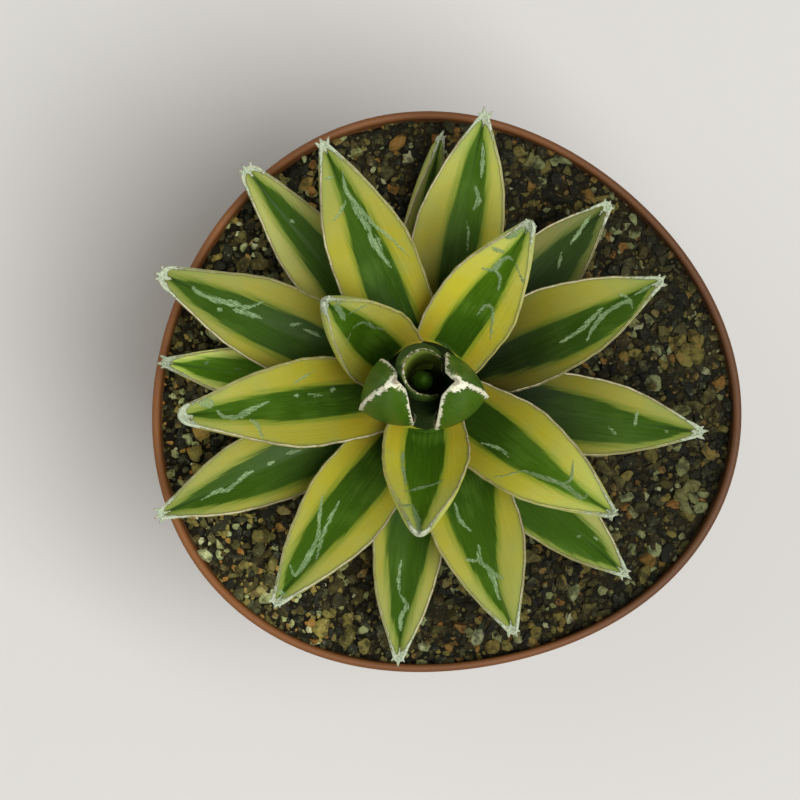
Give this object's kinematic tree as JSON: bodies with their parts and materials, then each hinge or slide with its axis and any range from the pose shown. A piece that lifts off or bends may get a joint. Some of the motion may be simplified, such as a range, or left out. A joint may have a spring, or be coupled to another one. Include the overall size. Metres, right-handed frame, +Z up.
{
  "type": "potted queen victoria agave",
  "caption": "Young agave rosette with thick keeled green and yellow leaves edged in white, in gritty soil in a tapered brown plastic nursery pot.",
  "frame": {"origin": "centre of the pot's flat underside", "axes": "+Z up through the pot's mouth; +X and +Y are right and up in the view from above"},
  "size_m": [0.123, 0.1173, 0.1545],
  "materials": {
    "pot_plastic": "satin terracotta brown, thin and slightly soft",
    "gritty_soil": "loose dark grit with tan, grey and ochre stones",
    "stem_flesh": "matt pale plant flesh",
    "open_leaf": "smooth waxy leaf, green middle, yellow sides, white horny edge",
    "bud_leaf": "smooth waxy green leaf back with white horny ridges"
  },
  "bodies": {
    "root": {"pot": "pot_plastic", "soil": "gritty_soil", "stem": "stem_flesh", "leaf_01": "open_leaf", "leaf_02": "open_leaf", "leaf_03": "open_leaf", "leaf_04": "open_leaf", "leaf_05": "open_leaf", "leaf_06": "open_leaf", "leaf_07": "open_leaf", "leaf_08": "open_leaf", "leaf_09": "open_leaf", "leaf_10": "open_leaf", "leaf_11": "open_leaf", "leaf_12": "open_leaf", "leaf_13": "open_leaf", "leaf_14": "open_leaf", "leaf_15": "open_leaf", "leaf_16": "open_leaf", "leaf_17": "open_leaf", "leaf_18": "open_leaf", "leaf_19": "open_leaf", "bud_leaf_1": "bud_leaf", "bud_leaf_2": "bud_leaf", "bud_leaf_3": "bud_leaf", "bud_leaf_4": "bud_leaf"}
  },
  "joints": []
}
